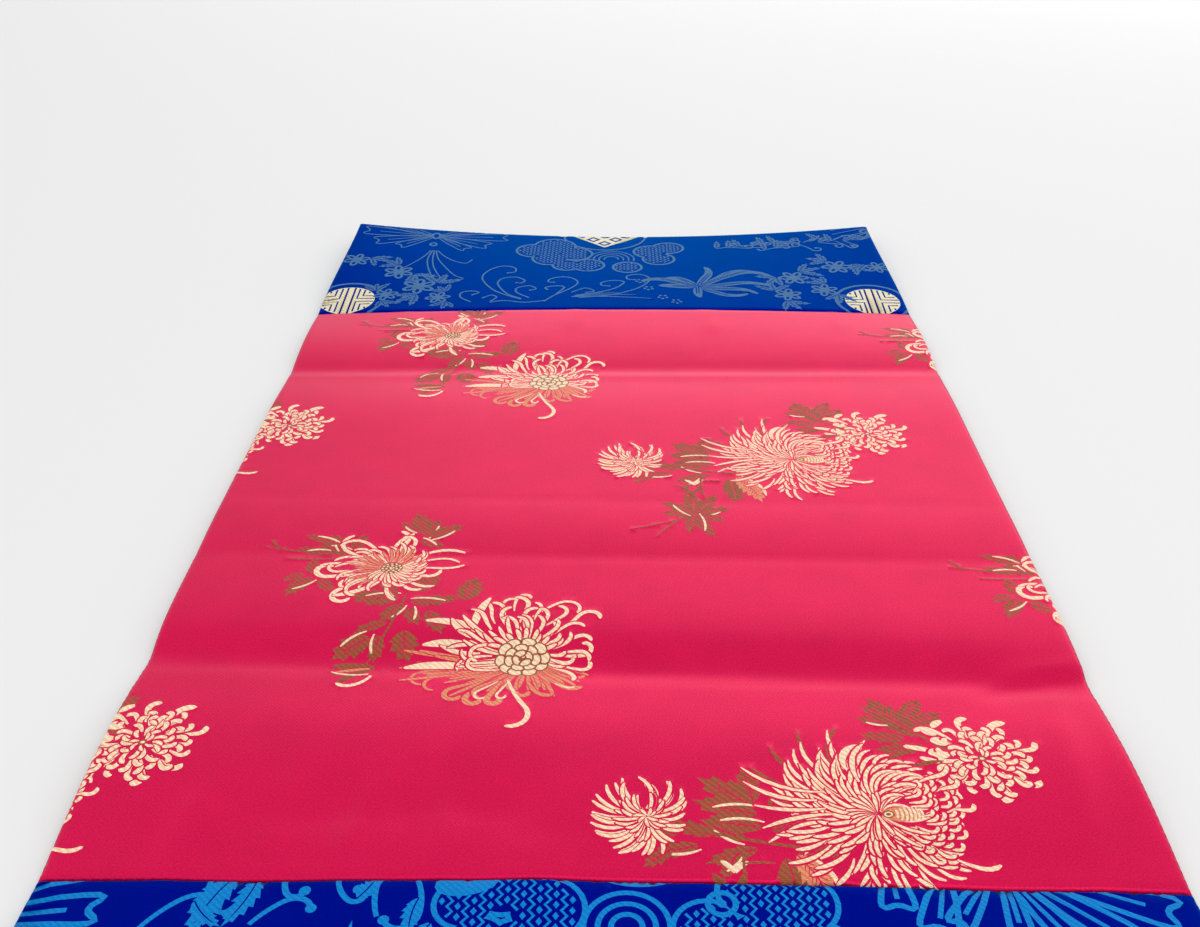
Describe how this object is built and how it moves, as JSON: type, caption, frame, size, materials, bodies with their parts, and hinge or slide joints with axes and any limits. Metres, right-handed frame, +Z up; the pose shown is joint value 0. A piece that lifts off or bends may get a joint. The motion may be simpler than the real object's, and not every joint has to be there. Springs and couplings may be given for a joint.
{
  "type": "brocade panel",
  "caption": "Oblong figured brocade panel: a crimson centre cloth sewn between two royal blue end bands, lying flat with soft fold creases.",
  "frame": {"origin": "on the surface the panel lies on, under the middle of its outline", "axes": "+Z up off the surface, +Y along the panel from the near end to the far end, +X across it"},
  "size_m": [0.3051, 0.5912, 0.0112],
  "materials": {
    "crimson_brocade": "figured satin weave, soft sheen",
    "blue_brocade": "figured satin weave, soft sheen"
  },
  "bodies": {
    "root": {"centre_panel": "crimson_brocade", "near_band": "blue_brocade", "far_band": "blue_brocade"}
  },
  "joints": []
}
